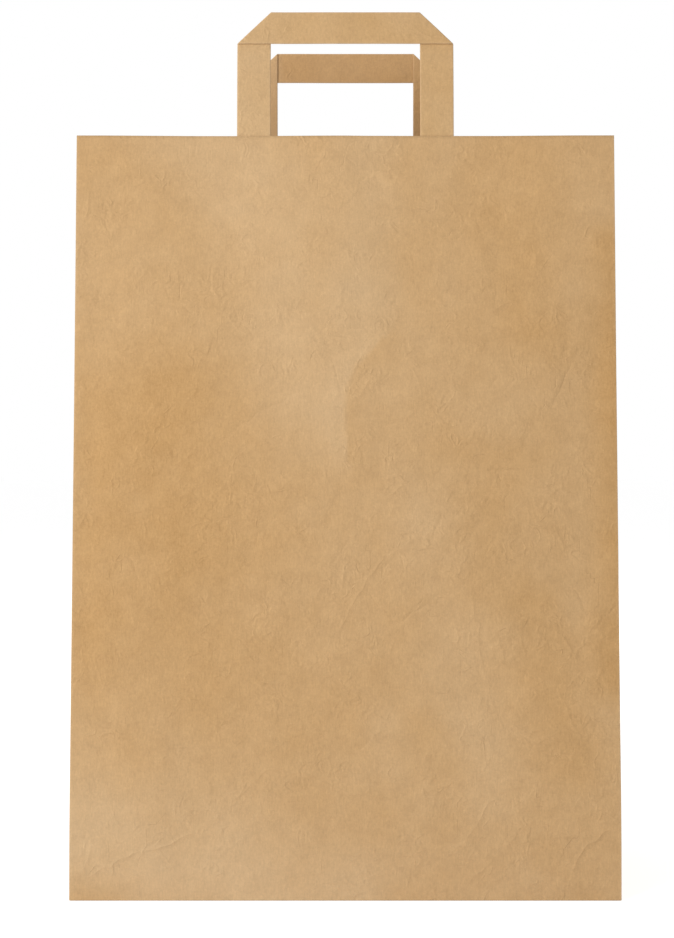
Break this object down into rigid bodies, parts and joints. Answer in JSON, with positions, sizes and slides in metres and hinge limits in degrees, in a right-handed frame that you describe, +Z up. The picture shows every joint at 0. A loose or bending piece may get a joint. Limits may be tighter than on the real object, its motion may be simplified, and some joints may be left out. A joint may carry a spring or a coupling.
{
  "type": "paper carrier bag",
  "caption": "Open kraft paper carrier bag with side gussets, a folded block bottom and flat folded paper tape handles.",
  "frame": {"origin": "centre of the base, on the surface that the bag stands on", "axes": "+Z up towards the handles, -Y out of the front panel, +X to the right as seen from the front"},
  "size_m": [0.32, 0.17, 0.5244],
  "materials": {
    "kraft_sheet": "matte",
    "handle_tape": "matte",
    "patch_sheet": "matte"
  },
  "bodies": {
    "root": {"bag_body": "kraft_sheet", "front_handle": "handle_tape", "back_handle": "handle_tape", "front_patch": "patch_sheet", "back_patch": "patch_sheet"}
  },
  "joints": []
}
